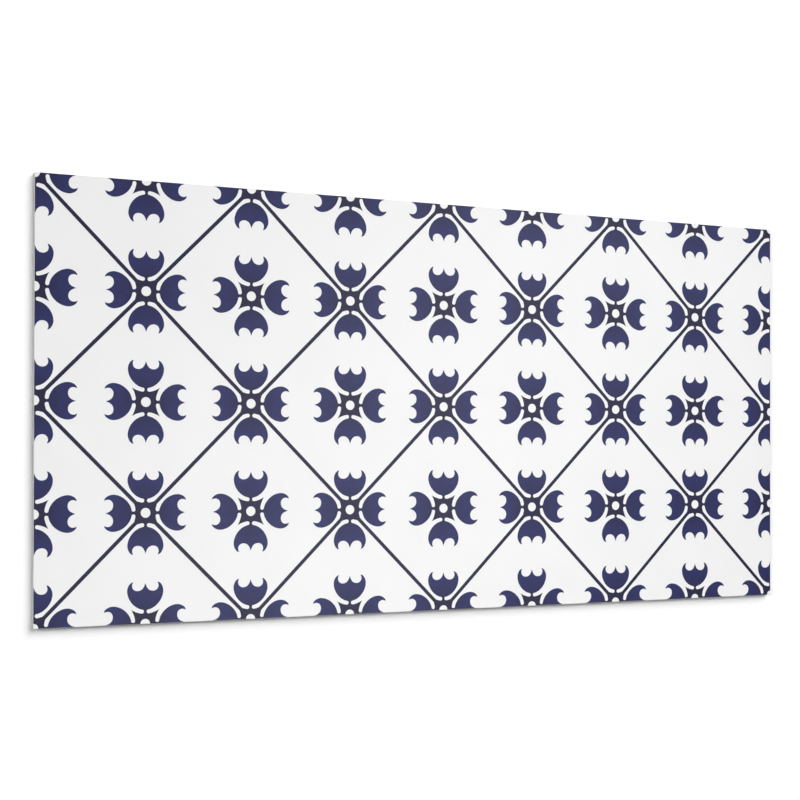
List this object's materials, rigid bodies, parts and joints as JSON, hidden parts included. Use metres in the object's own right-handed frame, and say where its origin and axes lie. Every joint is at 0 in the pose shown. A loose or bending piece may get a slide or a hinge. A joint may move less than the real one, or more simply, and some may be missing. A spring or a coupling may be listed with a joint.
{
  "type": "peel and stick wall panel",
  "caption": "Flat oblong self-adhesive wall panel with square-cut edges; its white face is printed with navy tulip rosettes on a diagonal trellis, and its back sticks to a wall.",
  "frame": {"origin": "centre of the flat adhesive back", "axes": "+X along the long side, +Y along the short side, +Z out of the printed face"},
  "size_m": [0.6, 0.3, 0.005],
  "materials": {
    "printed_sheet": "white foamed PVC sheet with a satin printed face",
    "tulip_ink": "satin navy printing ink of the tulip heads",
    "trellis_ink": "satin dark navy printing ink of the stars and the trellis"
  },
  "bodies": {
    "root": {"wall_panel": "printed_sheet"}
  },
  "joints": []
}
